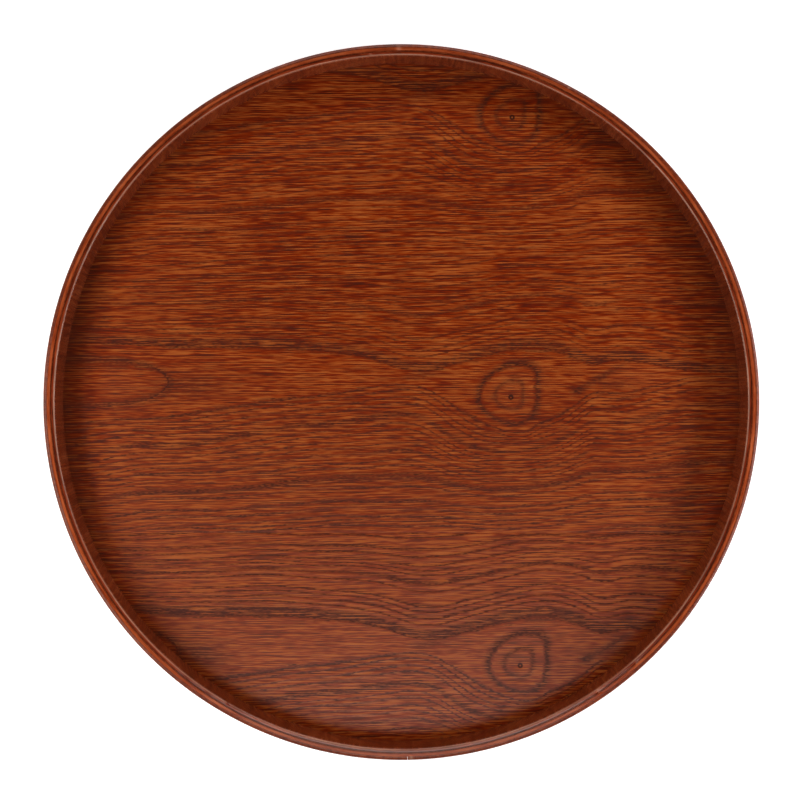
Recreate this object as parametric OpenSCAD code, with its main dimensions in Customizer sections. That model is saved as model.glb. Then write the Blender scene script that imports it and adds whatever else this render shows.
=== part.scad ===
// Round serving tray: a veneered plywood panel let into the rebate of a bent laminated hoop.
// Millimetres. +Z is up, the origin is the centre of the face that the tray stands on, and the
// grain of the floor veneer runs along X.

/* [Tray] */
// Outside diameter of the hoop
tray_d = 300; // [200:5:420]
// Height of the hoop, from the table to its top edge
tray_h = 20; // [12:0.5:40]
// Gap between the table and the underside of the panel
foot_h = 0.8; // [0.4:0.1:2]

/* [Hoop plies, from the outside in] */
// Outer face ply, with its grain upright
outer_face_t = 1.3; // [0.5:0.1:2]
// Outer core ply, with its grain round the hoop
outer_core_t = 1.3; // [0.8:0.1:2.5]
// Middle ply, with its grain upright, which the panel's edge meets
middle_t = 0.7; // [0.4:0.1:2]
// Inner core ply, with its grain round the hoop
inner_core_t = 1.3; // [0.8:0.1:2.5]
// Inner face ply, with its grain upright
inner_face_t = 0.4; // [0.3:0.1:1.5]

/* [Hoop edges and joints] */
// Rounding of the outer top edge
top_outer_round = 1.2; // [0.2:0.1:1.3]
// Rounding of the inner top edge
top_inner_round = 0.8; // [0.2:0.1:1.3]
// Rounding of the outer bottom edge
foot_round = 0.8; // [0.2:0.1:1.3]
// Length of a core strip's scarf joint for each millimetre of its thickness
scarf_slope = 6; // [3:0.5:10]
// Glue line where a strip's two ends meet
joint_gap = 0.1; // [0.05:0.05:0.3]

/* [Panel layers, from the top down] */
// Floor veneer
floor_veneer_t = 0.5; // [0.3:0.1:1]
// Upper crossband
upper_band_t = 0.9; // [0.5:0.1:1.5]
// Core sheet
core_t = 1.2; // [0.6:0.1:3]
// Lower crossband
lower_band_t = 0.9; // [0.5:0.1:1.5]
// Backing veneer
backing_t = 0.5; // [0.3:0.1:1]
// Gap between the panel's edge and the rebate
panel_gap = 0.1; // [0.05:0.05:0.4]

/* [Floor veneer leaves] */
// Width of the middle leaf, across the grain
leaf_w = 118; // [60:1:140]
// Distance of the middle leaf's centre line from the tray's centre
leaf_shift = 3; // [-15:1:15]

/* [Hidden] */
$fn = 240;

// How far a cut runs past the faces that it goes through
cut_over = 2;

// Radii of the faces between the hoop's plies
hoop_r = tray_d / 2;
outer_core_r = hoop_r - outer_face_t;
middle_r = outer_core_r - outer_core_t;
inner_core_r = middle_r - middle_t;
inner_face_r = inner_core_r - inner_core_t;
well_r = inner_face_r - inner_face_t;
hoop_t = hoop_r - well_r;

// Where each strip's two ends meet, as angles from +X
outer_face_joint = 271;
outer_core_joint = 90;
middle_joint = 304;
inner_core_joint = 95;
inner_face_joint = 218;

// Heights of the faces between the panel's layers
backing_z = foot_h;
lower_band_z = backing_z + backing_t;
core_z = lower_band_z + lower_band_t;
upper_band_z = core_z + core_t;
floor_veneer_z = upper_band_z + upper_band_t;
floor_z = floor_veneer_z + floor_veneer_t;
panel_r = inner_core_r - panel_gap;

// Seams between the floor veneer's leaves
back_seam_y = leaf_shift + leaf_w / 2;
front_seam_y = leaf_shift - leaf_w / 2;

// A square corner of side r with the quarter disc taken out, its sharp corner at the origin
// and its arms along +X and +Y.
module corner_waste(r) {
    difference() {
        square(r);
        translate([r, r]) circle(r);
    }
}

// The hoop's section: radius along X and height along Y.
module hoop_section() {
    difference() {
        translate([well_r, 0]) square([hoop_t, tray_h]);
        translate([hoop_r, tray_h]) rotate(180) corner_waste(top_outer_round);
        translate([well_r, tray_h]) rotate(-90) corner_waste(top_inner_round);
        translate([hoop_r, 0]) rotate(90) corner_waste(foot_round);
    }
}

// The glue line where a strip's two ends meet. It starts at the strip's inner face and leaves
// through its outer face, at cut_angle to the strip: 90 for a butt joint, less for a scarf.
module end_joint(r_in, r_out, at, cut_angle) {
    cut_l = (r_out - r_in) / sin(cut_angle) + 2 * cut_over;
    rotate(at)
        translate([r_in, 0, 0])
            rotate(-cut_angle)
                translate([-joint_gap / 2, -cut_over, -cut_over])
                    cube([joint_gap, cut_l, tray_h + 2 * cut_over]);
}

// One strip of the hoop, bent to a ring that is open only at the joint between its ends.
module bent_strip(r_in, r_out, z_low, joint_at, cut_angle) {
    difference() {
        rotate_extrude(convexity = 4)
            intersection() {
                hoop_section();
                translate([r_in, z_low]) square([r_out - r_in, tray_h - z_low]);
            }
        end_joint(r_in, r_out, joint_at, cut_angle);
    }
}

// A strip with upright grain, butted end to end.
module cross_strip(r_in, r_out, z_low, joint_at) {
    bent_strip(r_in, r_out, z_low, joint_at, 90);
}

// A strip with its grain round the hoop, scarfed where its ends overlap.
module long_strip(r_in, r_out, z_low, joint_at) {
    bent_strip(r_in, r_out, z_low, joint_at, atan(1 / scarf_slope));
}

module hoop_outer_face_ply() {
    color("#5f2a17") cross_strip(outer_core_r, hoop_r, 0, outer_face_joint);
}

module hoop_outer_core_ply() {
    color("#a9552f") long_strip(middle_r, outer_core_r, 0, outer_core_joint);
}

module hoop_middle_ply() {
    color("#6b240c") cross_strip(inner_core_r, middle_r, 0, middle_joint);
}

// The inner two plies stop at the floor, which makes the rebate that the panel sits in.
module hoop_inner_core_ply() {
    color("#a8603f") long_strip(inner_face_r, inner_core_r, floor_z, inner_core_joint);
}

module hoop_inner_face_ply() {
    color("#62240f") cross_strip(well_r, inner_face_r, floor_z, inner_face_joint);
}

// One round layer of the panel.
module panel_layer(z_low, layer_t) {
    translate([0, 0, z_low]) cylinder(h = layer_t, r = panel_r);
}

// The part of the floor veneer between two lines along X.
module floor_leaf(y_low, y_high) {
    intersection() {
        panel_layer(floor_veneer_z, floor_veneer_t);
        translate([-tray_d, y_low, 0]) cube([2 * tray_d, y_high - y_low, tray_h]);
    }
}

module floor_leaf_back() {
    color("#74300f") floor_leaf(back_seam_y, tray_d);
}

module floor_leaf_middle() {
    color("#7c3212") floor_leaf(front_seam_y, back_seam_y);
}

module floor_leaf_front() {
    color("#7f3a20") floor_leaf(-tray_d, front_seam_y);
}

module panel_upper_crossband() {
    color("#b98a5e") panel_layer(upper_band_z, upper_band_t);
}

module panel_core() {
    color("#c79a6b") panel_layer(core_z, core_t);
}

module panel_lower_crossband() {
    color("#b98a5e") panel_layer(lower_band_z, lower_band_t);
}

module panel_backing_veneer() {
    color("#6f3317") panel_layer(backing_z, backing_t);
}

hoop_outer_face_ply();
hoop_outer_core_ply();
hoop_middle_ply();
hoop_inner_core_ply();
hoop_inner_face_ply();
floor_leaf_back();
floor_leaf_middle();
floor_leaf_front();
panel_upper_crossband();
panel_core();
panel_lower_crossband();
panel_backing_veneer();
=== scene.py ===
"""A round bentwood serving tray, seen from straight above: a hoop of five bent plies and a veneered
floor, stained reddish brown under a satin lacquer. Metres, except where a name ends in _mm."""
import math

import bpy
import numpy as np
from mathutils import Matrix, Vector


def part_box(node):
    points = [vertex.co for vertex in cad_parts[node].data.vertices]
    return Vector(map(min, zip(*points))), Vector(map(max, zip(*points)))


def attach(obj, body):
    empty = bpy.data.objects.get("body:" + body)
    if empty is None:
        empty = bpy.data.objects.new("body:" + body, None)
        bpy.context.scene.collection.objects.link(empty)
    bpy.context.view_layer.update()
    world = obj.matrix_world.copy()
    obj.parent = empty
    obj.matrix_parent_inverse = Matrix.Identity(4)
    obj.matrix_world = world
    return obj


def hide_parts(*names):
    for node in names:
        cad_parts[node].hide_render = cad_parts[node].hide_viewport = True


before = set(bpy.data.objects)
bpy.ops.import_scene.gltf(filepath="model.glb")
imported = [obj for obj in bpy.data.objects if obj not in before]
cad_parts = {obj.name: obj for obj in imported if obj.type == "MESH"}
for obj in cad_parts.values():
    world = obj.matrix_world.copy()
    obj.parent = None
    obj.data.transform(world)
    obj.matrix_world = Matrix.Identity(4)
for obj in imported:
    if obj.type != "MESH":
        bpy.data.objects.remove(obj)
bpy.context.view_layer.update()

MM = 0.001
TURN = 2 * math.pi

# --- Sizes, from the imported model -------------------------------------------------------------

# The plies from the inner wall outwards
HOOP_NODES = [
    "hoop_inner_face_ply",
    "hoop_inner_core_ply",
    "hoop_middle_ply",
    "hoop_outer_core_ply",
    "hoop_outer_face_ply",
]


def ring_radii_mm(node):
    """The inner and outer radius of a node that is a ring or a disc round the Z axis."""
    corners = np.array([v.co[:2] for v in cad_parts[node].data.vertices], float)
    radii = np.hypot(corners[:, 0], corners[:, 1]) / MM
    return float(radii.min()), float(radii.max())


def heights_mm(node):
    low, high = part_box(node)
    return low.z / MM, high.z / MM


TRAY_R_MM = ring_radii_mm("hoop_outer_face_ply")[1]
WELL_R_MM = ring_radii_mm("hoop_inner_face_ply")[0]
TRAY_H_MM = heights_mm("hoop_outer_face_ply")[1]
PANEL_R_MM = ring_radii_mm("panel_core")[1]
FLOOR_Z_MM = heights_mm("floor_leaf_middle")[1]

# Roundings of the hoop's edges, and where each strip's two ends meet, as angles from +X
TOP_OUTER_ROUND_MM = 1.2
TOP_INNER_ROUND_MM = 0.8
FOOT_ROUND_MM = 0.8
SCARF_SLOPE = 6.0
JOINT_GAP_MM = 0.1
JOINT_AT = {
    "hoop_outer_face_ply": 271,
    "hoop_outer_core_ply": 90,
    "hoop_middle_ply": 304,
    "hoop_inner_core_ply": 95,
    "hoop_inner_face_ply": 218,
}

# --- Camera -----------------------------------------------------------------------------------

# How much the picture takes in at the height of the rim, and where the camera hangs
VIEW_W_MM = 334.5
CAMERA_ABOVE_RIM_MM = 603.0
CAMERA_X_MM = -0.56
CAMERA_Y_MM = 0.85
SENSOR_MM = 36.0
NEAREST_SEEN = 0.01
FURTHEST_SEEN = 50


def make_camera():
    """Straight above the tray, with +Y up in the picture."""
    data = bpy.data.cameras.new("camera")
    data.sensor_width = SENSOR_MM
    data.lens = SENSOR_MM * CAMERA_ABOVE_RIM_MM / VIEW_W_MM
    data.clip_start = NEAREST_SEEN
    data.clip_end = FURTHEST_SEEN
    camera = bpy.data.objects.new("camera", data)
    camera.location = (
        CAMERA_X_MM * MM,
        CAMERA_Y_MM * MM,
        (TRAY_H_MM + CAMERA_ABOVE_RIM_MM) * MM,
    )
    bpy.context.scene.collection.objects.link(camera)
    bpy.context.scene.camera = camera


make_camera()

# --- Small helpers ----------------------------------------------------------------------------


def srgb(red, green, blue):
    """A colour given as 0 to 255 display values, in linear light."""
    values = np.array([red, green, blue]) / 255
    linear = np.where(values <= 0.04045, values / 12.92, ((values + 0.055) / 1.055) ** 2.4)
    return (*[float(v) for v in linear], 1.0)


def tones(*stops):
    """Stops for a colour ramp, each given as its place and 0 to 255 display values."""
    return [(place, srgb(*colour)) for place, *colour in stops]


def rise(t, low, high):
    """0 below low, 1 above high, smooth between."""
    s = np.clip((t - low) / (high - low), 0, 1)
    return s * s * (3 - 2 * s)


def hump(t, centre, width):
    """1 at the centre, falling away smoothly to both sides."""
    return np.exp(-(((t - centre) / width) ** 2))


def smooth_min(a, b, k):
    """The lower of two values, blended over k where they are close."""
    h = np.clip(0.5 + 0.5 * (b - a) / k, 0, 1)
    return b + (a - b) * h - k * h * (1 - h)


def wander(t, seed, longest, shortest, count=9):
    """A smooth random line of t, about 1 high, made of waves between the two lengths."""
    rng = np.random.default_rng(seed)
    lengths = np.geomspace(longest, shortest, count)
    phases = rng.uniform(0, TURN, count)
    heights = rng.normal(0, 1, count) * np.sqrt(lengths / longest)
    total = sum(a * np.sin(TURN * t / w + p) for a, w, p in zip(heights, lengths, phases))
    return total / math.sqrt(0.5 * float((heights ** 2).sum()))


SHARP_EDGE_DEG = 40


def make_piece(name, corners_mm, faces, attributes, material, nodes):
    """A mesh piece that rides on the tray, stands for CAD nodes and takes the given material."""
    mesh = bpy.data.meshes.new(name)
    mesh.from_pydata((np.asarray(corners_mm) * MM).tolist(), [], faces)
    for key, values in attributes.items():
        values = np.asarray(values, np.float32)
        kind, field = ("FLOAT", "value") if values.ndim == 1 else ("FLOAT_VECTOR", "vector")
        mesh.attributes.new(key, kind, "POINT").data.foreach_set(field, values.ravel())
    mesh.validate()
    mesh.shade_smooth()
    mesh.set_sharp_from_angle(angle=math.radians(SHARP_EDGE_DEG))
    mesh.materials.append(material)
    piece = bpy.data.objects.new(name, mesh)
    bpy.context.scene.collection.objects.link(piece)
    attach(piece, "root")
    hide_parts(*nodes)


# --- Materials --------------------------------------------------------------------------------
#
# The meshes carry what the materials read: grain, the distances in mm along, across and into the
# fibres; growth, in growth lines; mark, for pores and blemishes, and along the hoop's top edge also
# a painted highlight on the inner corner and painted shade at the back and front; the darkening,
# above 0 where the floor is darker by the wall, which is painted shade and partly wood stained
# darker there, and below 0 where it is paler, in clear wood and in a painted sheen to the front and
# left; and place, in mm from the leaf's knot.

# The part of a noise's range that is used, for streaks and for broad patches
STREAK_SPAN = (0.2, 0.8)
BROAD_SPAN = (0.3, 0.7)


class Graph:
    """A material's node tree, with a short call for each kind of node that is used here."""

    def __init__(self, name):
        self.material = bpy.data.materials.new(name)
        self.material.use_nodes = True
        self.nodes = self.material.node_tree.nodes
        self.links = self.material.node_tree.links
        self.nodes.clear()

    def put(self, socket, value):
        if isinstance(value, bpy.types.NodeSocket):
            self.links.new(value, socket)
        else:
            socket.default_value = value

    def number(self, name):
        """A mesh attribute with one number for each corner."""
        node = self.nodes.new("ShaderNodeAttribute")
        node.attribute_name = name
        return node.outputs["Fac"]

    def vector(self, name):
        """A mesh attribute with a vector for each corner."""
        node = self.nodes.new("ShaderNodeAttribute")
        node.attribute_name = name
        return node.outputs["Vector"]

    def math(self, operation, first, second=0.0, third=0.0, clamp=False):
        node = self.nodes.new("ShaderNodeMath")
        node.operation = operation
        node.use_clamp = clamp
        self.put(node.inputs[0], first)
        self.put(node.inputs[1], second)
        self.put(node.inputs[2], third)
        return node.outputs[0]

    def stretched(self, vector, x_length, y_length, z_length, shift=0.0):
        """The vector divided by one length for each axis, and moved by the shift."""
        node = self.nodes.new("ShaderNodeMapping")
        self.put(node.inputs["Vector"], vector)
        node.inputs["Scale"].default_value = (1 / x_length, 1 / y_length, 1 / z_length)
        node.inputs["Location"].default_value = (shift, shift, shift)
        return node.outputs[0]

    def noise(self, vector, detail=1.0, roughness=0.5):
        """Noise from 0 to 1, with one unit of the vector to a cell."""
        node = self.nodes.new("ShaderNodeTexNoise")
        self.put(node.inputs["Vector"], vector)
        node.inputs["Scale"].default_value = 1.0
        node.inputs["Detail"].default_value = detail
        node.inputs["Roughness"].default_value = roughness
        return node.outputs["Fac"]

    def remap(self, value, from_low, from_high, to_low, to_high):
        node = self.nodes.new("ShaderNodeMapRange")
        self.put(node.inputs["Value"], value)
        node.inputs["From Min"].default_value = from_low
        node.inputs["From Max"].default_value = from_high
        node.inputs["To Min"].default_value = to_low
        node.inputs["To Max"].default_value = to_high
        return node.outputs["Result"]

    def vary(self, dark, noise, span, reach):
        """Dark, raised by reach where the noise is low and lowered by it where it is high."""
        return self.math("ADD", dark, self.remap(noise, *span, reach, -reach))

    def ramp(self, value, stops):
        """A colour or grey for each value: stops are (place, colour or grey)."""
        node = self.nodes.new("ShaderNodeValToRGB")
        points = node.color_ramp.elements
        points.remove(points[1])
        for number, (place, colour) in enumerate(stops):
            point = points.new(place) if number else points[0]
            point.position = place
            point.color = colour if isinstance(colour, tuple) else (colour, colour, colour, 1)
        self.put(node.inputs["Fac"], value)
        return node.outputs["Color"]

    def mix(self, factor, first, second):
        node = self.nodes.new("ShaderNodeMix")
        node.data_type = "RGBA"
        self.put(node.inputs["Factor"], factor)
        self.put(node.inputs[6], first)
        self.put(node.inputs[7], second)
        return node.outputs[2]

    def blemished(self, colour, mark, pale, dark):
        """The colour, mixed with pale where the mark is above 0 and with dark where it is below."""
        colour = self.mix(self.math("MAXIMUM", mark, 0.0), colour, pale)
        deep = self.math("MAXIMUM", self.math("MULTIPLY", mark, -1.0), 0.0)
        return self.mix(deep, colour, dark)

    def hollow(self, depth, strength, distance_mm):
        """A normal for a surface that lies lower where depth is high."""
        node = self.nodes.new("ShaderNodeBump")
        node.inputs["Strength"].default_value = strength
        node.inputs["Distance"].default_value = distance_mm * MM
        self.put(node.inputs["Height"], self.math("MULTIPLY", depth, -1.0))
        return node.outputs["Normal"]

    def finished(self, colour, roughness, normal, specular):
        """Ends the tree in a surface, and returns the material."""
        shader = self.nodes.new("ShaderNodeBsdfPrincipled")
        self.put(shader.inputs["Base Color"], colour)
        self.put(shader.inputs["Roughness"], roughness)
        self.put(shader.inputs["Normal"], normal)
        shader.inputs["Specular IOR Level"].default_value = specular
        output = self.nodes.new("ShaderNodeOutputMaterial")
        self.links.new(shader.outputs["BSDF"], output.inputs["Surface"])
        return self.material


# The floor's fibres, as layers of noise: length, width, shift and share
FIBRES = [
    (36, 0.43, 0, 0.8),
    (13, 0.36, 2, 0.8),
    (5, 0.32, 7, 0.6),
]
FIBRE_SPAN = (0.82, 1.38)
FIBRE_DEPTH_MM = 4

FLOOR_TONES = tones(
    (0.0, 180, 92, 40),
    (0.16, 160, 66, 18),
    (0.36, 135, 39, 0),
    (0.58, 111, 26, 0),
    (0.8, 86, 24, 6),
    (1.0, 58, 20, 10),
)
# Darker by the wall: painted shade, partly wood stained darker there. Paler: clear wood, and a
# painted sheen to the front and left.
PAINTED_SHADE_AND_POOLING_TONE = srgb(56, 25, 13)
PALE_WOOD_AND_PAINTED_SHEEN_TONE = srgb(154, 100, 70)
PORE_TONE = srgb(76, 30, 17)
KNOT_TONE = srgb(56, 21, 11)

# How dark a growth line is across its width, and how strong each line is, at its growth times
# GROWTH_TO_STRENGTH
FLOOR_LINE = [(0.0, 0.7), (0.05, 1.0), (0.21, 0.9), (0.34, 0.1), (0.93, 0.0), (1.0, 0.7)]
LINE_STRENGTH = [
    (0.05, 0.45), (0.12, 0.5), (0.15, 0.9), (0.25, 0.95), (0.4, 0.9), (0.6, 0.88), (1.0, 0.88),
]
GROWTH_TO_STRENGTH = 0.05

# How dark the pin knot is, at the distance from its heart in mm times KNOT_SCALE
KNOT_RINGS = [(0.0, 0.0), (0.06, 0.05), (0.12, 1.0), (0.24, 0.9), (0.34, 0.0)]
KNOT_SCALE = 0.25


def floor_fibres(g, grain, shift):
    """Long, middling and short streaks: 0 where dark and 1 where light."""
    fibre = 0.0
    for length, width, seed, share in FIBRES:
        layer = g.noise(g.stretched(grain, length, width, FIBRE_DEPTH_MM, shift + seed), 0.0)
        fibre = g.math("MULTIPLY_ADD", layer, share, fibre)
    return g.remap(fibre, *FIBRE_SPAN, 0.0, 1.0)


def floor_darkness(g, grain, fibre, darkening, shift):
    """From 0, a light glint, to 1, a dark fibre."""
    patch = g.noise(g.stretched(grain, 75, 30, 20, shift + 11), 1.0, 0.5)
    dark = g.math("MULTIPLY_ADD", fibre, -0.95, 0.79)
    dark = g.vary(dark, patch, BROAD_SPAN, 0.07)
    # Darker by the wall: painted shade, partly wood stained darker there.
    dark = g.math("ADD", dark, g.math("MULTIPLY", g.math("MAXIMUM", darkening, 0.0), 0.35))
    return g.math("MAXIMUM", dark, 0.0)


def floor_pores(g, grain, fibre, pale, shift):
    """Growth lines: rows of pores whose edges are broken up by the fibres, stronger where the floor
    is paler, in clear wood and in the painted sheen, and strongest round the light zone. The mesh's
    own marks are added."""
    growth = g.number("growth")
    broken = g.math("MULTIPLY_ADD", fibre, 0.34, growth)
    line = g.ramp(g.math("FRACT", broken), FLOOR_LINE)
    broad = g.noise(g.stretched(grain, 50, 4, 9, shift + 3), 1.0, 0.5)
    near = g.remap(growth, 4.3, 7.0, 1.0, 0.0)
    fade = g.math("MAXIMUM", g.remap(broad, 0.32, 0.52, 0.5, 1.0), near)
    strength = g.ramp(g.math("MULTIPLY", growth, GROWTH_TO_STRENGTH), LINE_STRENGTH)
    pores = g.math("MULTIPLY", g.math("MULTIPLY", line, fade), strength)
    pores = g.math("MULTIPLY", pores, g.math("MULTIPLY_ADD", pale, 2.2, 0.82))
    pores = g.math("ADD", pores, g.number("mark"))
    mottle = g.noise(g.stretched(grain, 1.8, 0.5, FIBRE_DEPTH_MM, shift + 5), 0.0)
    return g.math("MULTIPLY", pores, g.remap(mottle, 0.35, 0.65, 0.6, 1.15), clamp=True)


def floor_knot(g):
    """The pin knot: a dark ring with a light heart."""
    across = g.nodes.new("ShaderNodeVectorMath")
    across.operation = "LENGTH"
    g.put(across.inputs[0], g.vector("place"))
    return g.ramp(g.math("MULTIPLY", across.outputs["Value"], KNOT_SCALE), KNOT_RINGS)


def floor_veneer_material(name, shift):
    """Open-grained ash: light fibre glints, dark pores, and growth lines made of rows of pores."""
    g = Graph(name)
    grain = g.vector("grain")
    darkening = g.number("darkening")
    fibre = floor_fibres(g, grain, shift)
    dark = floor_darkness(g, grain, fibre, darkening, shift)
    colour = g.ramp(dark, FLOOR_TONES)
    # Darker by the wall, most of all at the left: painted shade, partly wood stained darker there.
    colour = g.mix(g.math("MULTIPLY", darkening, 1.5, clamp=True), colour, PAINTED_SHADE_AND_POOLING_TONE)
    # Paler in clear wood, and a painted sheen to the front and left.
    pale = g.math("MULTIPLY", darkening, -1.0, clamp=True)
    colour = g.mix(pale, colour, PALE_WOOD_AND_PAINTED_SHEEN_TONE)
    pores = floor_pores(g, grain, fibre, pale, shift)
    colour = g.mix(pores, colour, PORE_TONE)
    knot = floor_knot(g)
    colour = g.mix(knot, colour, KNOT_TONE)
    deep = g.math("MAXIMUM", g.math("MULTIPLY_ADD", pores, 0.5, dark), knot)
    roughness = g.remap(deep, 0.0, 1.0, 0.26, 0.4)
    return g.finished(colour, roughness, g.hollow(deep, 0.3, 0.04), 0.23)


# How dark a growth line is across its width, in the hoop and the backing
SOFT_LINE = [(0.0, 0.6), (0.15, 1.0), (0.45, 0.2), (0.85, 0.0), (1.0, 0.6)]

CROSS_PLY_TONES = tones(
    (0.0, 150, 72, 40),
    (0.3, 126, 51, 24),
    (0.6, 100, 37, 17),
    (1.0, 66, 25, 13),
)
LONG_PLY_TONES = tones(
    (0.0, 194, 98, 56),
    (0.4, 164, 70, 34),
    (0.75, 128, 42, 16),
    (1.0, 84, 26, 10),
)
SHEET_TONES = tones((0.2, 214, 178, 132), (0.9, 170, 128, 84))
BACKING_TONES = tones(
    (0.0, 150, 78, 46),
    (0.35, 124, 54, 28),
    (0.7, 92, 36, 18),
    (1.0, 58, 22, 13),
)


def cross_ply_material(name, shift, specular, shine):
    """A ply with its fibres upright: fine vertical streaks on its face and dark end grain on its
    edge. Shine is the roughness of its lightest fibres."""
    g = Graph(name)
    grain = g.vector("grain")
    streak = g.noise(g.stretched(grain, 12, 0.6, 0.6, shift), 2.0, 0.55)
    fine = g.noise(g.stretched(grain, 4, 0.22, 0.22, shift + 5), 1.0, 0.5)
    broad = g.noise(g.stretched(grain, 30, 14, 8, shift + 9), 2.0, 0.5)
    phase = g.math("FRACT", g.math("MULTIPLY_ADD", streak, 0.7, g.number("growth")))
    dark = g.math("MULTIPLY_ADD", g.ramp(phase, SOFT_LINE), 0.22, 0.28)
    dark = g.vary(dark, streak, STREAK_SPAN, 0.30)
    dark = g.vary(dark, fine, STREAK_SPAN, 0.28)
    dark = g.vary(dark, broad, BROAD_SPAN, 0.14)
    dark = g.math("MAXIMUM", dark, 0.0)
    colour = g.ramp(dark, CROSS_PLY_TONES)
    # Paler where the mark is above 0: pale blemishes, and on the inner corner a painted highlight,
    # partly wear. Darker below 0: the glue line, dark blemishes, and painted shade at the back and
    # front.
    colour = g.blemished(colour, g.number("mark"), srgb(208, 150, 122), srgb(38, 15, 9))
    roughness = g.remap(dark, 0.0, 1.0, shine, shine + 0.06)
    return g.finished(colour, roughness, g.hollow(dark, 0.25, 0.02), specular)


def long_ply_material(name, shift, specular, darkening):
    """A ply with its fibres round the hoop, whose sanded edge stained orange. The darkening given
    is how dark it is on average."""
    g = Graph(name)
    grain = g.vector("grain")
    streak = g.noise(g.stretched(grain, 9, 0.45, 0.45, shift), 2.0, 0.6)
    fine = g.noise(g.stretched(grain, 3, 0.2, 0.2, shift + 5), 1.0, 0.5)
    broad = g.noise(g.stretched(grain, 24, 4, 4, shift + 9), 2.0, 0.5)
    dark = g.vary(darkening, streak, STREAK_SPAN, 0.32)
    dark = g.vary(dark, fine, STREAK_SPAN, 0.22)
    dark = g.vary(dark, broad, BROAD_SPAN, 0.22)
    dark = g.math("MAXIMUM", dark, 0.0)
    colour = g.ramp(dark, LONG_PLY_TONES)
    # Paler where the mark is above 0: pale blemishes, and on the inner corner a painted highlight,
    # partly wear. Darker below 0: the glue line, dark blemishes, and painted shade at the back and
    # front.
    colour = g.blemished(colour, g.number("mark"), srgb(214, 158, 130), srgb(48, 18, 10))
    roughness = g.remap(dark, 0.0, 1.0, 0.12, 0.17)
    return g.finished(colour, roughness, g.hollow(dark, 0.2, 0.02), specular)


def ply_sheet_material(name, along_x):
    """A bare birch layer inside the panel, its fibres along X or along Y."""
    g = Graph(name)
    coordinates = g.nodes.new("ShaderNodeTexCoord").outputs["Object"]
    fibre_length = 0.02
    fibre_width = 0.0006
    lengths = (fibre_length, fibre_width) if along_x else (fibre_width, fibre_length)
    streak = g.noise(g.stretched(coordinates, *lengths, fibre_width), 2.0, 0.6)
    broad = g.noise(g.stretched(coordinates, 0.05, 0.05, 0.05), 2.0, 0.5)
    dark = g.vary(g.remap(streak, *STREAK_SPAN, 0.8, 0.2), broad, BROAD_SPAN, 0.1)
    colour = g.ramp(dark, SHEET_TONES)
    roughness = g.remap(dark, 0.0, 1.0, 0.6, 0.75)
    return g.finished(colour, roughness, g.hollow(dark, 0.3, 0.05), 0.4)


def backing_material(name):
    """The veneer under the tray: stained like the rest, with a thinner and duller lacquer."""
    g = Graph(name)
    grain = g.vector("grain")
    streak = g.noise(g.stretched(grain, 12, 0.9, FIBRE_DEPTH_MM), 2.0, 0.55)
    fine = g.noise(g.stretched(grain, 5, 0.35, FIBRE_DEPTH_MM, 7), 1.0, 0.5)
    broad = g.noise(g.stretched(grain, 80, 22, 9, 3), 2.0, 0.5)
    phase = g.math("FRACT", g.math("MULTIPLY_ADD", streak, 0.8, g.number("growth")))
    dark = g.math("MULTIPLY_ADD", g.ramp(phase, SOFT_LINE), 0.25, 0.32)
    dark = g.vary(dark, streak, STREAK_SPAN, 0.28)
    dark = g.vary(dark, fine, STREAK_SPAN, 0.24)
    dark = g.vary(dark, broad, BROAD_SPAN, 0.15)
    dark = g.math("MAXIMUM", dark, 0.0)
    colour = g.ramp(dark, BACKING_TONES)
    roughness = g.remap(dark, 0.0, 1.0, 0.45, 0.62)
    material = g.finished(colour, roughness, g.hollow(dark, 0.4, 0.07), 0.5)
    shader = g.nodes["Principled BSDF"]
    shader.inputs["Coat Weight"].default_value = 0.1
    shader.inputs["Coat Roughness"].default_value = 0.4
    return material


# --- Floor veneer -----------------------------------------------------------------------------
#
# Each leaf's figure is drawn in mm from its knot: u along the grain and v across it.

# The knot of each leaf's figure, from the tray's centre
KNOTS_MM = {
    "floor_leaf_back": (47.5, 122.0),
    "floor_leaf_middle": (47.0, 2.0),
    "floor_leaf_front": (51.0, -113.0),
}
LEAF_SHIFT = 17.0

# Growth lines: their pitch outside the light zone and round the knot, and the growth at the
# zone's edge
LINE_PITCH_MM = 3.4
EYE_PITCH_MM = 6.3
ZONE_EDGE_GROWTH = 4

# The light zone that holds the knot: (u, its centre line, half its width)
ZONE_MM = [
    (-200, 6.0, 18.0),
    (-150, 6.5, 16.0),
    (-100, 10.0, 11.7),
    (-76, 10.5, 9.5),
    (-60, 10.5, 6.5),
    (-46, 8.8, 3.0),
    (-36, 7.4, 3.6),
    (-23, 5.0, 10.0),
    (-10, 3.5, 15.5),
    (3, 4.0, 18.0),
    (14, 5.2, 16.8),
    (25, 6.2, 12.7),
    (31, 7.4, 8.0),
    (36, 8.2, 5.0),
    (42, 8.6, 7.5),
    (50, 9.0, 7.5),
    (63, 9.5, 4.5),
    (78, 9.8, 1.0),
    (110, 9.8, 0.4),
]
ZONE_EASE_MM = 12

# Further from the zone than the figure's reach, its centre line and half width level out
FIGURE_REACH_MM = 27.0
FAR_CENTRE_MM = 9.0
FAR_HALF_MM = 6.0

# The lines tilt and sway to both sides of the zone, whose middle is about this far from the knot
ZONE_V_MM = 8
TILT = 0.035
SWAY_MM = 0.9

# A tongue of clear wood that comes in from the left
TONGUE_U_MM = -200
TONGUE_LENGTH_MM = 53
TONGUE_HALF_MM = 11

# Pores crowded together: (strength, u, reach along, v, reach across, slope)
CROWDS = [
    (0.8, 28.5, 3.2, 3, 2.2, 0),
    (0.5, 44, 8, 5.5, 1.6, 0),
    (0.45, -138, 14, 5, 5, 0),
    (0.5, -38, 10, 14, 1.8, 0.12),
]

# Clear wood: (strength, u, reach along, v, reach across, slope)
CLEARINGS = [
    (0.06, -176, 20, 6, 8, 0),
    (0.07, 54, 14, 9, 5, 0),
    (0.07, 2, 12, 4, 10, 0),
]

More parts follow.
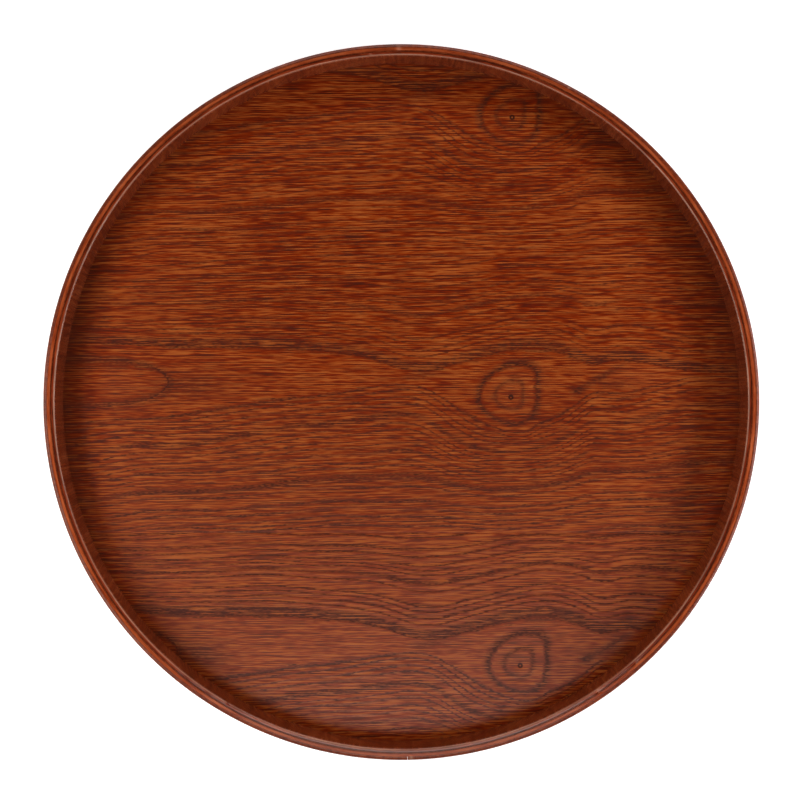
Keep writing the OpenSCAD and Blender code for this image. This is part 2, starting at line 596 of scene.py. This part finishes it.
# The grid of a leaf: how far apart its rows are, the points in each, and half the shortest row
ROW_PITCH_MM = 0.5
LEAF_COLUMNS = 250
EDGE_ROW_HALF_MM = 3.0
PANEL_Y_LIMIT_MM = math.sqrt(PANEL_R_MM ** 2 - EDGE_ROW_HALF_MM ** 2)
BACKING_ROWS = 420
BACKING_COLUMNS = 160

# Relief: half the height of the growth lines and the part of a line that is highest, the pin
# knot's pit, and the dips along the seams
LINE_RELIEF_MM = 0.02
LINE_CREST = 0.7
KNOT_PIT_MM = 0.12
KNOT_PIT_R_MM = 0.9
SEAM_DIP_MM = 0.05
SEAM_DIP_W_MM = 0.4
BACKING_RELIEF_MM = 0.03
BACKING_PITCH_MM = 5.5


def zone_shape(u):
    """The zone's centre line and half width at u, with the corners between its points eased."""
    steps = np.arange(-230, 140, 1.0)
    table = np.array(ZONE_MM)
    ease = hump(np.arange(-ZONE_EASE_MM, ZONE_EASE_MM + 1), 0, 4.5)
    ease = ease / ease.sum()
    shaped = []
    for column in (1, 2):
        line = np.interp(steps, table[:, 0], table[:, column])
        line = np.convolve(np.pad(line, ZONE_EASE_MM, mode="edge"), ease, mode="valid")
        shaped.append(np.interp(u, steps, line))
    return shaped


def eye_growth(u, v):
    """Growth round the knot, whose rings are flatter on one side."""
    angle = np.arctan2(v - 1, u + 0.5)
    radius = np.hypot(u + 0.5, v - 1)
    radius = radius * (1 - 0.17 * hump(angle, 0.8, 0.42) + 0.06 * np.sin(3 * angle + 1.2))
    return 1 + radius / EYE_PITCH_MM + (np.maximum(radius - 14, 0) / 4) ** 2


def tongue_length(u):
    """0 in the tongue's middle and 1 at its tip, and blunt."""
    return ((u - TONGUE_U_MM) / TONGUE_LENGTH_MM) ** 4


def zone_growth(u, distance, half):
    """Growth inside the light zone: lowest in the tongue, and nearly level out to its edge."""
    tongue = TONGUE_HALF_MM * np.clip(1 - tongue_length(u), 0, 1) ** 0.5
    heart = 3.3 + 0.17 * rise(u, -150, -95)
    ratio = np.clip(distance / half, 0, 1)
    share = np.clip(tongue / half, 0, 0.95)
    in_tongue = 3 - 0.45 * (1 - (ratio / np.maximum(share, 1e-6)) ** 2)
    beside = np.clip((ratio - share) / (1 - share), 0, 1)
    return np.where(ratio < share, in_tongue, heart + (ZONE_EDGE_GROWTH - heart) * beside ** 5)


def outer_growth(v, distance, half):
    """Growth outside the light zone, in lines of uneven width that differ on its two sides."""
    side = 90.0 * (v > ZONE_V_MM)
    beyond = distance - half
    uneven = wander(beyond + side, 8, 34, 8) - wander(side, 8, 34, 8)
    return ZONE_EDGE_GROWTH + (beyond + 1.5 * uneven) / LINE_PITCH_MM


def figure(u, v):
    """Growth, in lines, and distance across the fibres in mm, at u along and v across the knot."""
    away = np.abs(v - ZONE_V_MM)
    tilt = TILT * u * rise(away, 14, 45)
    sway = SWAY_MM * wander(u + 0.4 * v, 5, 240, 40) * rise(away, 8, 30)
    v_level = v - tilt - sway
    centre, half = zone_shape(u)
    fade = hump(np.maximum(np.abs(v_level - 6) - 12, 0), 0, FIGURE_REACH_MM)
    centre = FAR_CENTRE_MM + (centre - FAR_CENTRE_MM) * fade
    half = FAR_HALF_MM + (half - FAR_HALF_MM) * fade
    distance = np.abs(v_level - centre)
    inside = zone_growth(u, distance, half)
    outside = outer_growth(v, distance, half)
    zone = np.where(distance < half, inside, outside)
    return smooth_min(eye_growth(u, v), zone, 0.3), v - 0.6 * tilt


def blots(u, v, places):
    """The sum of soft blots, each given as a row of CROWDS or CLEARINGS is."""
    total = 0.0
    for strength, at_u, along, at_v, across, slope in places:
        total = total + strength * hump(u, at_u, along) * hump(v - slope * u, at_v, across)
    return total


def leaf_mark(u, v, growth):
    """Pores crowded together: where growth lines meet, round the eye and its heart, along the edge
    of the light zone, and round the tongue."""
    along = 0.87 * (u - 39) + 0.5 * (v - 9)
    beside = 0.87 * (v - 9) - 0.5 * (u - 39)
    slanted = 0.75 * hump(along, 0, 11) * hump(beside, 0, 1.5)
    eye = eye_growth(u, v)
    ring = 0.42 * hump(eye, 3.15, 0.24) * (0.3 + 0.7 * rise(v, -15, 2))
    heart = 0.3 * hump(eye, 2.0, 0.13)
    edge = 0.2 * hump(growth, ZONE_EDGE_GROWTH + 0.22, 0.28)
    tongue_edge = 0.42 * hump(tongue_length(u) + ((v - 6.2) / TONGUE_HALF_MM) ** 2, 1.08, 0.14)
    return slanted + blots(u, v, CROWDS) + ring + heart + edge + tongue_edge


def leaf_pooling_and_painted_light(x, y, u, v):
    """Darker by the wall, most of all at the left, which is painted shade and partly wood stained
    darker there; and paler, which is below 0: clear wood in the clearings, and a painted sheen to
    the front and left."""
    from_wall = WELL_R_MM - np.hypot(x, y)
    left = hump(np.maximum(x + WELL_R_MM, 0), 0, 22)
    right = hump(np.minimum(x - WELL_R_MM, 0), 0, 22)
    # Darker in the corner by the wall and further in at the sides: painted shade, partly wood
    # stained darker there.
    pooling_and_painted_shade = 0.10 * hump(np.maximum(from_wall, 0), 0, 3.5)
    pooling_and_painted_shade = pooling_and_painted_shade + (0.06 + 0.26 * left + 0.10 * right) * (1 - rise(from_wall, 3, 22))
    # Paler to the front and a little to the left: painted sheen.
    paling_and_painted_light = 0.14 * (1 - rise(y, -75, 35)) + 0.03 * (1 - rise(x, -110, -20))
    return pooling_and_painted_shade - blots(u, v, CLEARINGS) - paling_and_painted_light


def leaf_grid(y_low, y_high, columns, rows):
    """Rows of points across a part of the panel's disc, each row as long as the disc is there."""
    y = np.linspace(y_low, y_high, rows)
    chord = np.sqrt(np.maximum(PANEL_R_MM ** 2 - y ** 2, EDGE_ROW_HALF_MM ** 2))
    t = np.linspace(-1, 1, columns)
    return chord[:, None] * t[None, :], np.repeat(y[:, None], columns, 1)


def slab(x, y, z_shown, z_back, up):
    """A closed slab: the shown side is the whole grid, and the other side spans each row."""
    rows, columns = x.shape
    shown = np.stack([x, y, z_shown], -1).reshape(-1, 3)
    ends = x[:, [0, -1]]
    back = np.stack([ends, y[:, [0, -1]], np.full_like(ends, z_back)], -1).reshape(-1, 3)
    first_back = rows * columns
    faces = []
    for j in range(rows - 1):
        here = j * columns
        above = here + columns
        faces += [(here + i, here + i + 1, above + i + 1, above + i) for i in range(columns - 1)]
        low, high = first_back + 2 * j, first_back + 2 * j + 2
        faces.append((low, high, high + 1, low + 1))
        faces.append((here, above, high, low))
        faces.append((above + columns - 1, here + columns - 1, low + 1, high + 1))
    last = (rows - 1) * columns
    last_back = first_back + 2 * (rows - 1)
    faces.append((first_back, first_back + 1) + tuple(range(columns - 1, -1, -1)))
    faces.append(tuple(range(last, last + columns)) + (last_back + 1, last_back))
    if not up:
        faces = [face[::-1] for face in faces]
    return np.concatenate([shown, back]), faces


def padded_rows(values, rows, columns):
    """A grid's values, followed by those of its end columns for the slab's other side."""
    values = values.reshape(rows, columns, -1)
    ends = values[:, [0, -1]].reshape(rows * 2, -1)
    flat = np.concatenate([values.reshape(rows * columns, -1), ends])
    return flat[:, 0] if flat.shape[1] == 1 else flat


def make_floor_leaf(node, shift):
    """One leaf of the floor veneer, with its growth lines standing slightly out of the surface."""
    low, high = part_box(node)
    seams = (low.y / MM, high.y / MM)
    y_low = max(seams[0], -PANEL_Y_LIMIT_MM)
    y_high = min(seams[1], PANEL_Y_LIMIT_MM)
    rows = int((y_high - y_low) / ROW_PITCH_MM) + 1
    x, y = leaf_grid(y_low, y_high, LEAF_COLUMNS, rows)
    knot_x, knot_y = KNOTS_MM[node]
    u, v = x - knot_x, y - knot_y
    growth, across = figure(u, v)
    relief = LINE_RELIEF_MM * np.cos(TURN * (growth - LINE_CREST)) - LINE_RELIEF_MM
    pit = KNOT_PIT_MM * hump(np.hypot(u, v), 0, KNOT_PIT_R_MM)
    dip = SEAM_DIP_MM * (hump(y, seams[0], SEAM_DIP_W_MM) + hump(y, seams[1], SEAM_DIP_W_MM))
    z = FLOOR_Z_MM + relief - pit - dip
    corners, faces = slab(x, y, z, low.z / MM, True)
    fields = {
        "grain": np.stack([x, across, np.zeros_like(x)], -1),
        "place": np.stack([u, v, np.zeros_like(u)], -1),
        "growth": growth,
        "mark": leaf_mark(u, v, growth),
        # Painted shade by the wall and painted sheen to the front, with the wood's clearings.
        "darkening": leaf_pooling_and_painted_light(x, y, u, v),
    }
    attributes = {key: padded_rows(field, rows, LEAF_COLUMNS) for key, field in fields.items()}
    material = floor_veneer_material(node.replace("floor_leaf", "stained_ash"), shift)
    make_piece(node + "_piece", corners, faces, attributes, material, [node])


def make_backing():
    """The veneer under the panel, which is seen from below."""
    node = "panel_backing_veneer"
    low_z, high_z = heights_mm(node)
    x, y = leaf_grid(-PANEL_Y_LIMIT_MM, PANEL_Y_LIMIT_MM, BACKING_COLUMNS, BACKING_ROWS)
    across = y + 3 * wander(x, 21, 400, 90)
    growth = across / BACKING_PITCH_MM + 0.5 * wander(across, 22, 60, 9)
    z = low_z + BACKING_RELIEF_MM * np.cos(TURN * growth) + BACKING_RELIEF_MM
    corners, faces = slab(x, y, z, high_z, False)
    grain = np.stack([x, across, np.zeros_like(x)], -1)
    attributes = {
        "grain": padded_rows(grain, BACKING_ROWS, BACKING_COLUMNS),
        "growth": padded_rows(growth, BACKING_ROWS, BACKING_COLUMNS),
    }
    material = backing_material("stained_backing")
    make_piece("backing_veneer_piece", corners, faces, attributes, material, [node])


# --- Hoop -------------------------------------------------------------------------------------

# Small blemishes of the hoop: (angle, radius, height or None for the top, size, depth, tone).
# A tone above 0 is paler and below 0 darker.
BLEMISHES = [
    (90.4, 147.9, None, 1.3, 0.10, 0.55),
    (89.6, 148.1, None, 0.35, 0.15, -0.9),
    (95.1, 146.2, None, 0.5, 0.10, 0.8),
    (95.4, 146.3, None, 0.3, 0.15, -0.8),
    (271.6, 148.9, None, 0.9, 0.20, 0.5),
    (304.2, 146.7, None, 0.8, 0.15, 0.8),
    (312.0, 146.9, None, 0.7, 0.15, 0.7),
    (301.0, 147.4, None, 0.5, 0.05, 0.5),
    (177.0, 145.1, 14.0, 0.8, -0.10, -0.5),
    (62.0, 149.2, None, 0.5, 0.10, 0.5),
    (240.1, 145.1, None, 0.55, 0.20, -0.8),
    (203.5, 145.0, 15.5, 1.2, -0.12, -0.5),
]

# The faces between the plies, from the inner wall outwards: how far inside its CAD radius each
# lies, and how far it strays from its circle. The wall and the outside are truer.
BOUNDARY_INWARD_MM = (0.0, 0.0, 0.15, 0.25, 0.4, 0.0)
BOUNDARY_SWAY_MM = 0.09
WALL_SWAY_MM = 0.03
SWAY_WAVES = (2, 3, 5, 8, 13, 21, 34)
SWAY_SEED = 70

GLUE_GROOVE_MM = 0.07
TOP_WAVE_MM = 0.04
GROWTH_PITCH_MM = 4.2

# Points round a hoop ply, and down the side of one that shows or is hidden
SHOWN_STEPS = 1300
HIDDEN_STEPS = 1000
SHOWN_WALL_POINTS = 9
HIDDEN_WALL_POINTS = 3
BLEMISH_POINTS = 21


def boundary_sway_mm(index, angle):
    """How far the face between two plies strays from its circle: 0 is the inner wall."""
    turns = angle / TURN
    outside = len(HOOP_NODES)
    rng = np.random.default_rng(SWAY_SEED + index)
    total = np.zeros_like(turns)
    for waves in SWAY_WAVES:
        height = rng.normal(0, 1)
        phase = rng.uniform(0, 6.3)
        total = total + height * np.sin(TURN * waves * turns + phase) / waves ** 0.4
    size = WALL_SWAY_MM if index in (0, outside) else BOUNDARY_SWAY_MM
    sway = size * total / 2.2
    return -np.abs(sway) if index == outside else sway - BOUNDARY_INWARD_MM[index]


def round_drop_mm(into, round_mm):
    """How far a quarter round has dropped, at a distance into it."""
    into = np.clip(into, 0, round_mm)
    return round_mm - np.sqrt(round_mm ** 2 - into ** 2)


def top_height_mm(radius):
    """The height of the hoop's top edge at a radius, with both of its corners rounded."""
    outer = round_drop_mm(radius - (TRAY_R_MM - TOP_OUTER_ROUND_MM), TOP_OUTER_ROUND_MM)
    inner = round_drop_mm(WELL_R_MM + TOP_INNER_ROUND_MM - radius, TOP_INNER_ROUND_MM)
    return TRAY_H_MM - (outer + inner)


def foot_height_mm(radius):
    """The height of the hoop's bottom edge at a radius, with its outer corner rounded."""
    return round_drop_mm(radius - (TRAY_R_MM - FOOT_ROUND_MM), FOOT_ROUND_MM)


def edge_radii(r_in, r_out):
    """Radii across a ply's edge, closer together where the hoop's corners are rounded."""
    turn = np.linspace(0, math.pi / 2, 8)
    outer = TRAY_R_MM - TOP_OUTER_ROUND_MM * (1 - np.sin(turn))
    inner = WELL_R_MM + TOP_INNER_ROUND_MM * (1 - np.sin(turn))
    radii = np.concatenate([np.linspace(r_in, r_out, 7), outer, inner])
    radii = radii[(radii > r_in + 0.04) & (radii < r_out - 0.04)]
    ends = [r_in, r_out, r_in + 0.05, r_out - 0.05]
    return np.unique(np.round(np.concatenate([radii, ends]), 3))


def strip_section(r_in, r_out, z_low, shown_in, shown_out):
    """A strip's closed section as points (radius, height), with a fine groove at each glue line
    along its top edge."""
    radii = edge_radii(r_in, r_out)
    top = top_height_mm(radii)
    if not shown_in:
        top[0] -= GLUE_GROOVE_MM
    if not shown_out:
        top[-1] -= GLUE_GROOVE_MM
    stands_on_table = z_low < 0.01
    foot = foot_height_mm(radii) if stands_on_table else np.full_like(radii, z_low)
    outer_count = SHOWN_WALL_POINTS if shown_out else HIDDEN_WALL_POINTS
    inner_count = SHOWN_WALL_POINTS if shown_in else HIDDEN_WALL_POINTS
    outer_z = np.linspace(foot[-1], top[-1], outer_count)[1:-1]
    inner_z = np.linspace(top[0], foot[0], inner_count)[1:-1]
    points = list(zip(radii, foot))
    points += [(r_out, z) for z in outer_z]
    points += list(zip(radii[::-1], top[::-1]))
    points += [(r_in, z) for z in inner_z]
    return np.array(points)


def ring_turns(joint, count):
    """Turns from the joint round to it again, as parts of 1, closer together near blemishes."""
    turns = [np.linspace(0, 1, count)]
    for angle, _, _, size, _, _ in BLEMISHES:
        centre = ((angle - joint) % 360) / 360
        reach = 2.5 * size / (TURN * TRAY_R_MM)
        turns.append(np.linspace(centre - reach, centre + reach, BLEMISH_POINTS))
    turns = np.unique(np.round(np.concatenate(turns), 6))
    return turns[(turns >= 0) & (turns <= 1)]


def hoop_tone_and_painted_light(radius, angle):
    """Along the hoop's top edge: paler on the inner corner, a painted highlight and partly wear;
    dark by the middle ply; and a little darker at the back and front on the ply outside it, which
    is painted shade."""
    arc = angle * TRAY_R_MM
    # The inner corner is paler: a painted highlight, partly wear.
    paling_and_painted_light = 0.5 + 0.12 * wander(arc, 31, 120, 15)
    glue = 0.55 + 0.12 * wander(arc, 32, 90, 9)
    from_wall = radius - WELL_R_MM
    tone = paling_and_painted_light * hump(from_wall, 0.42, 0.26) - glue * hump(from_wall, 1.75, 0.4)
    # The back and front of the ply outside the middle one are darker: painted shade.
    return tone - 0.2 * np.sin(angle) ** 2 * hump(from_wall, 2.9, 0.9)


def blemished_hoop(radius, height, angle, top, section):
    """The blemishes' tone, the height with its top lowered by them, and how far they move the
    wall outwards."""
    tone = 0.0
    lowered = 0.0
    moved = 0.0
    for at, at_radius, at_height, size, depth, shade in BLEMISHES:
        on_top = at_height is None
        away = (angle - math.radians(at) + math.pi) % TURN - math.pi
        level = (TRAY_H_MM - 0.3 if on_top else at_height) - section[None, :, 1]
        spread = np.sqrt((away * TRAY_R_MM) ** 2 + (radius - at_radius) ** 2 + level ** 2)
        near = hump(spread, 0, size)
        tone = tone + shade * near
        if on_top:
            lowered = lowered + depth * near * top
        else:
            moved = moved + depth * near
    return tone, height - lowered, moved


def make_hoop_ply(index, steps, material, slope=0.0, shown_in=False, shown_out=False):
    """One strip of the hoop, bent round to meet itself. A slope above 0 makes the joint a scarf,
    for a strip whose grain runs round the hoop."""
    node = HOOP_NODES[index]
    joint = JOINT_AT[node]
    r_in, r_out = ring_radii_mm(node)
    section = strip_section(r_in, r_out, heights_mm(node)[0], shown_in, shown_out)
    turns = ring_turns(joint, steps)
    radius = np.repeat(section[None, :, 0], len(turns), 0)
    height = np.repeat(section[None, :, 1], len(turns), 0)
    gap = JOINT_GAP_MM / 2 * math.hypot(1, slope) / radius
    skew = slope * (radius - r_in) / radius
    angle = math.radians(joint) + skew + gap + (TURN - 2 * gap) * turns[:, None]
    part = (radius - r_in) / (r_out - r_in)
    sway = boundary_sway_mm(index, angle) * (1 - part) + boundary_sway_mm(index + 1, angle) * part
    top = rise(height, TRAY_H_MM - 1.5, TRAY_H_MM - 0.3)
    height = height + TOP_WAVE_MM * top * wander(angle * TRAY_R_MM, 40 + index, 90, 6)
    tone, height, moved = blemished_hoop(radius, height, angle, top, section)
    # The top edge's tone: a painted highlight on the inner corner, partly wear, painted shade at
    # the back and front, the dark glue line, and the blemishes.
    mark = hoop_tone_and_painted_light(radius, angle) * top + tone
    radius = radius + sway + moved
    arc = (angle - math.radians(joint)) * TRAY_R_MM
    depth = section[None, :, 0] + np.zeros_like(arc)
    if slope:
        grain = np.stack([arc, height, depth], -1)
        growth = depth
    else:
        grain = np.stack([height, arc, depth], -1)
        growth = arc / GROWTH_PITCH_MM + 0.8 * wander(arc, 60 + index, 160, 12)
    corners = np.stack([radius * np.cos(angle), radius * np.sin(angle), height], -1)
    faces = lathe_faces(len(turns), len(section))
    attributes = {
        "grain": grain.reshape(-1, 3),
        "growth": growth.reshape(-1),
        "mark": np.clip(mark, -1, 1).reshape(-1),
    }
    make_piece(node + "_piece", corners.reshape(-1, 3), faces, attributes, material, [node])


def lathe_faces(rings, points):
    """Faces of a section carried round from the first ring to the last, closed at both ends."""
    faces = []
    for k in range(rings - 1):
        here = k * points
        there = here + points
        for i in range(points):
            j = (i + 1) % points
            faces.append((here + i, there + i, there + j, here + j))
    faces.append(tuple(range(points)))
    last = (rings - 1) * points
    faces.append(tuple(range(last + points - 1, last - 1, -1)))
    return faces


def make_hoop():
    """The five plies, from the inner wall outwards."""
    inner_face = cross_ply_material("inner_face_ash", 31.0, 0.6, 0.15)
    inner_core = long_ply_material("inner_core_edge", 47.0, 0.42, 0.78)
    middle = cross_ply_material("middle_ply_edge", 59.0, 0.14, 0.15)
    outer_core = long_ply_material("outer_core_edge", 13.0, 0.16, 0.36)
    outer_face = cross_ply_material("outer_face_ash", 83.0, 0.3, 0.27)
    make_hoop_ply(0, SHOWN_STEPS, inner_face, shown_in=True)
    make_hoop_ply(1, HIDDEN_STEPS, inner_core, SCARF_SLOPE)
    make_hoop_ply(2, HIDDEN_STEPS, middle)
    make_hoop_ply(3, HIDDEN_STEPS, outer_core, SCARF_SLOPE)
    make_hoop_ply(4, SHOWN_STEPS, outer_face, shown_out=True)


# --- Panel layers that stay as the CAD has them -------------------------------------------------


def dress_panel_layers():
    """The sheets inside the panel get bare wood, with the core's grain along X."""
    for node in ("panel_upper_crossband", "panel_core", "panel_lower_crossband"):
        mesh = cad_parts[node].data
        mesh.materials.clear()
        mesh.materials.append(ply_sheet_material("bare_" + node, node == "panel_core"))


# --- Studio -----------------------------------------------------------------------------------

TABLE_HALF = 4.0
TABLE_DROP = 0.0002
TABLE_GLOW = 0.66

# Softboxes, turned to the tray's centre: (name, azimuth, distance from the centre, height above
# the table, width, height of the box, power, tint)
SOFTBOXES = [
    ("left_softbox", 200, 0.33, 0.24, 0.35, 0.17, 0.76, (1.0, 0.99, 0.9)),
    ("right_softbox", 352, 0.40, 0.18, 0.40, 0.11, 1.03, (1.0, 1.0, 1.0)),
    ("back_softbox", 88, 0.37, 0.215, 0.40, 0.11, 0.55, (1.0, 1.0, 1.0)),
    ("front_softbox", 272, 0.345, 0.58, 0.40, 0.24, 1.10, (1.0, 0.99, 0.92)),
]

# The sky's brightness: pale up to one height and dim from another, as the sine of the elevation
SKY_PALE = (0.12, 0.6)
SKY_DIM = (0.4, 0.02)


def table_material():
    """Matt white, which glows a little so that no shadow shows round the tray."""
    material = bpy.data.materials.new("white_table")
    material.use_nodes = True
    shader = material.node_tree.nodes["Principled BSDF"]
    shader.inputs["Base Color"].default_value = (0.9, 0.9, 0.9, 1)
    shader.inputs["Roughness"].default_value = 0.9
    shader.inputs["Specular IOR Level"].default_value = 0.1
    shader.inputs["Emission Color"].default_value = (1, 1, 1, 1)
    shader.inputs["Emission Strength"].default_value = TABLE_GLOW
    return material


def make_table():
    """A plain white table."""
    mesh = bpy.data.meshes.new("table")
    signs = [(-1, -1), (1, -1), (1, 1), (-1, 1)]
    corners = [(TABLE_HALF * a, TABLE_HALF * b, -TABLE_DROP) for a, b in signs]
    mesh.from_pydata(corners, [], [(0, 1, 2, 3)])
    mesh.materials.append(table_material())
    table = bpy.data.objects.new("table", mesh)
    bpy.context.scene.collection.objects.link(table)


def make_softbox(name, azimuth, away, up, width, height, power, tint):
    """A soft light beside the tray, turned to its centre."""
    data = bpy.data.lights.new(name, "AREA")
    data.shape = "RECTANGLE"
    data.size = width
    data.size_y = height
    data.energy = power
    data.color = tint
    light = bpy.data.objects.new(name, data)
    turn = math.radians(azimuth)
    light.location = (away * math.cos(turn), away * math.sin(turn), up)
    light.rotation_euler = (math.atan2(away, up), 0, turn + math.pi / 2)
    bpy.context.scene.collection.objects.link(light)


def make_world():
    """Pale round the horizon and dim overhead, as in a studio with a dark ceiling."""
    world = bpy.data.worlds.new("studio")
    world.use_nodes = True
    nodes = world.node_tree.nodes
    links = world.node_tree.links
    coordinates = nodes.new("ShaderNodeTexCoord")
    split = nodes.new("ShaderNodeSeparateXYZ")
    ramp = nodes.new("ShaderNodeValToRGB")
    for point, (place, grey) in zip(ramp.color_ramp.elements, (SKY_PALE, SKY_DIM)):
        point.position = place
        point.color = (grey, grey, grey, 1)
    links.new(coordinates.outputs["Generated"], split.inputs[0])
    links.new(split.outputs["Z"], ramp.inputs["Fac"])
    links.new(ramp.outputs["Color"], nodes["Background"].inputs["Color"])
    bpy.context.scene.world = world


for number, leaf in enumerate(KNOTS_MM):
    make_floor_leaf(leaf, LEAF_SHIFT * number)
make_backing()
make_hoop()
dress_panel_layers()
for softbox in SOFTBOXES:
    make_softbox(*softbox)
make_world()
make_table()
bpy.context.scene.view_settings.view_transform = "Standard"
bpy.context.scene.view_settings.look = "None"
